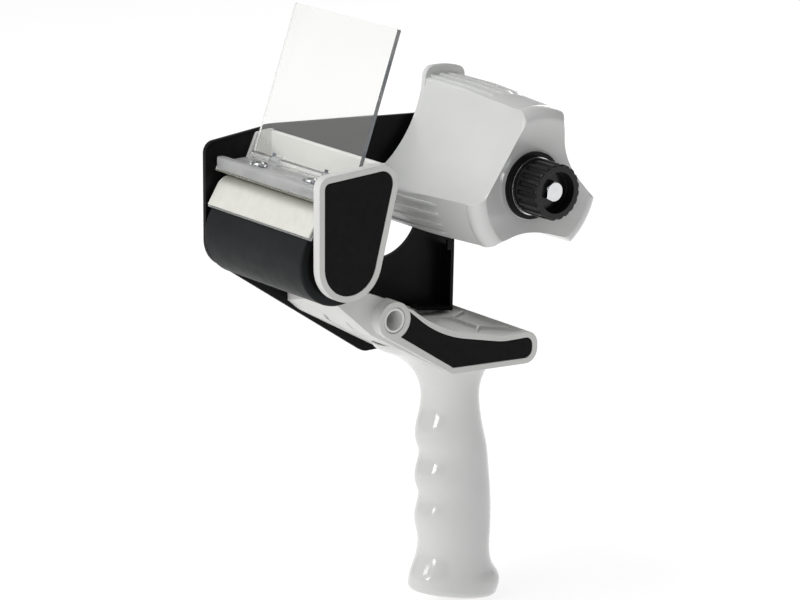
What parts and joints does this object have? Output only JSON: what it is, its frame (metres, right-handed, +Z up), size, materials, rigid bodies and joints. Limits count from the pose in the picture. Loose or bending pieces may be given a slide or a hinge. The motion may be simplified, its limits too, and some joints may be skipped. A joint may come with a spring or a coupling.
{
  "type": "tape gun dispenser",
  "caption": "Hand-held tape gun: pistol grip, folded steel frame plate, lobed core hub with brake knob, rubber roller, serrated blade under a clear flip guard, and a wiper leaf.",
  "frame": {"origin": "centre of the grip's sloping butt face", "axes": "+X towards the tape hub (rear), -X towards the roller (front), +Y from the brake knob towards the steel frame plate, +Z up along the grip; hub, roller and hinge axes lie along Y"},
  "size_m": [0.1636, 0.0989, 0.2806],
  "materials": {
    "axle_steel": "turned",
    "black_pad": "fine matte texture",
    "black_steel": "satin black powder coat",
    "blade_steel": "ground edge",
    "block_bolt_steel": "zinc plated",
    "block_nut_steel": "zinc plated",
    "block_pad": "fine matte texture",
    "block_screw_chrome": "bright",
    "block_shell": "light grey moulding, satin",
    "bush_plastic": "natural acetal",
    "chrome_screws": "bright",
    "clear_film": "clear film",
    "clear_foot": "clear polycarbonate, polished",
    "clear_guard": "clear polycarbonate, polished",
    "clear_pin": "clear rod",
    "clip_steel": "phosphated",
    "cream_leaf": "glossy cream",
    "drag_plastic": "black friction disc",
    "grey_shell": "light grey moulding, satin",
    "grip_gloss": "glossy white",
    "handle_bolt_steel": "zinc plated",
    "head_screw_chrome": "bright",
    "hub_bush_plastic": "natural acetal",
    "hub_plastic": "light grey, satin",
    "insert_brass": "knurled insert",
    "knob_plastic": "glossy black",
    "nut_steel": "zinc plated",
    "roller_core": "black moulding",
    "roller_rubber": "matte",
    "sleeve_plastic": "white",
    "spacer_plastic": "black",
    "spindle_chrome": "bright plated",
    "spring_steel": "spring wire",
    "tube_steel": "drawn tube",
    "washer_chrome": "bright plated"
  },
  "bodies": {
    "frame": {"frame_plate": "black_steel", "head_housing": "grey_shell", "cheek_inset": "black_pad", "guard_foot": "clear_foot", "guard_pin": "clear_pin", "guard_screws": "chrome_screws", "blade": "blade_steel", "roller_axle": "axle_steel", "axle_clip": "clip_steel", "axle_spacer": "spacer_plastic", "spindle_tube": "tube_steel", "spindle_nut": "nut_steel", "brake_spring": "spring_steel", "handle_block": "block_shell", "block_inset": "block_pad", "block_sleeve": "sleeve_plastic", "block_bolt": "block_bolt_steel", "block_nut": "block_nut_steel", "block_screws": "block_screw_chrome", "head_screws": "head_screw_chrome", "handle_grip": "grip_gloss", "handle_bolt": "handle_bolt_steel", "thread_insert": "insert_brass"},
    "tape_hub": {"hub": "hub_plastic", "hub_bushes": "hub_bush_plastic", "drag_washer": "drag_plastic"},
    "washer": {"brake_washer": "washer_chrome"},
    "knob": {"brake_knob": "knob_plastic", "spindle_bolt": "spindle_chrome"},
    "roller": {"roller_rubber": "roller_rubber", "roller_core": "roller_core", "roller_bushes": "bush_plastic"},
    "guard": {"guard_window": "clear_guard"},
    "wiper": {"wiper_leaf": "cream_leaf", "wiper_film": "clear_film"}
  },
  "joints": [
    {"name": "hub_spin", "type": "hinge", "parent": "frame", "child": "tape_hub", "pos_m": [0.0095, 0, 0.1976], "axis": [0, 1, 0], "continuous": true},
    {"name": "roller_spin", "type": "hinge", "parent": "frame", "child": "roller", "pos_m": [-0.0956, 0, 0.1799], "axis": [0, 1, 0], "continuous": true},
    {"name": "knob_advance", "type": "slide", "parent": "frame", "child": "washer", "axis": [0, -1, 0], "range_m": [0, 0.0015]},
    {"name": "knob_turn", "type": "hinge", "parent": "washer", "child": "knob", "pos_m": [0.0095, -0.0526, 0.1976], "axis": [0, -1, 0], "range_deg": [0, 545]},
    {"name": "guard_flip", "type": "hinge", "parent": "frame", "child": "guard", "pos_m": [-0.0887, 0, 0.2114], "axis": [0, -1, 0], "range_deg": [0, 85]},
    {"name": "wiper_flex", "type": "hinge", "parent": "frame", "child": "wiper", "pos_m": [-0.1038, 0, 0.2037], "axis": [0, 1, 0], "range_deg": [0, 10], "stiffness_Nm_per_rad": 0.3}
  ],
  "couplings": [
    {"joint": "knob_turn", "follows": "knob_advance", "rad_per_m": 6283.2}
  ]
}
